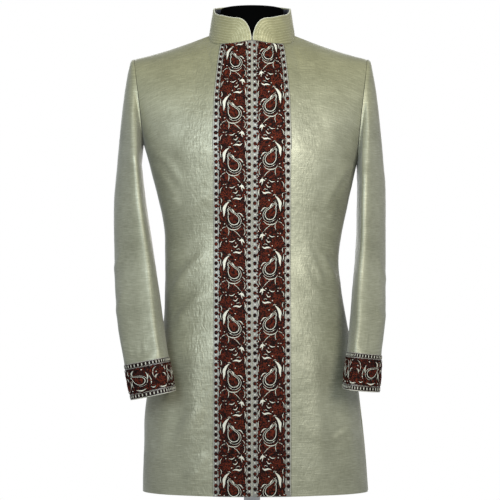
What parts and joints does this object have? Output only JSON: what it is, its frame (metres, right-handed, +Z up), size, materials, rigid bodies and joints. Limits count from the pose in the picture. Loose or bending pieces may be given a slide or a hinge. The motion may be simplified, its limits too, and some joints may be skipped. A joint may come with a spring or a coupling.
{
  "type": "sherwani coat on a dress form",
  "caption": "Long cream silk sherwani with stand collar, embroidered front and cuff bands and side vents, standing on a limbless dress form with pole and round base.",
  "frame": {"origin": "centre of the stand base's underside, on the floor", "axes": "+Z up along the pole and the coat's centre lines, -Y towards the coat's front, -X towards the wearer's right"},
  "size_m": [0.5322, 0.38, 1.5093],
  "materials": {
    "raw_silk": "satin raw silk with fine horizontal slubs",
    "embroidered_band": "dense maroon thread embroidery on ivory silk",
    "collar_satin": "smooth dark satin lining",
    "form_jersey": "matt black jersey over a hard shell",
    "stand_steel": "satin"
  },
  "bodies": {
    "root": {"front_right": "raw_silk", "front_left": "raw_silk", "back": "raw_silk", "sleeve_right": "raw_silk", "sleeve_left": "raw_silk", "collar": "raw_silk", "collar_lining": "collar_satin", "front_trim_right": "embroidered_band", "front_trim_left": "embroidered_band", "cuff_trim_right": "embroidered_band", "cuff_trim_left": "embroidered_band", "form_body": "form_jersey", "stand_flange": "stand_steel", "stand_pole": "stand_steel", "stand_socket": "stand_steel", "stand_base": "stand_steel"}
  },
  "joints": []
}
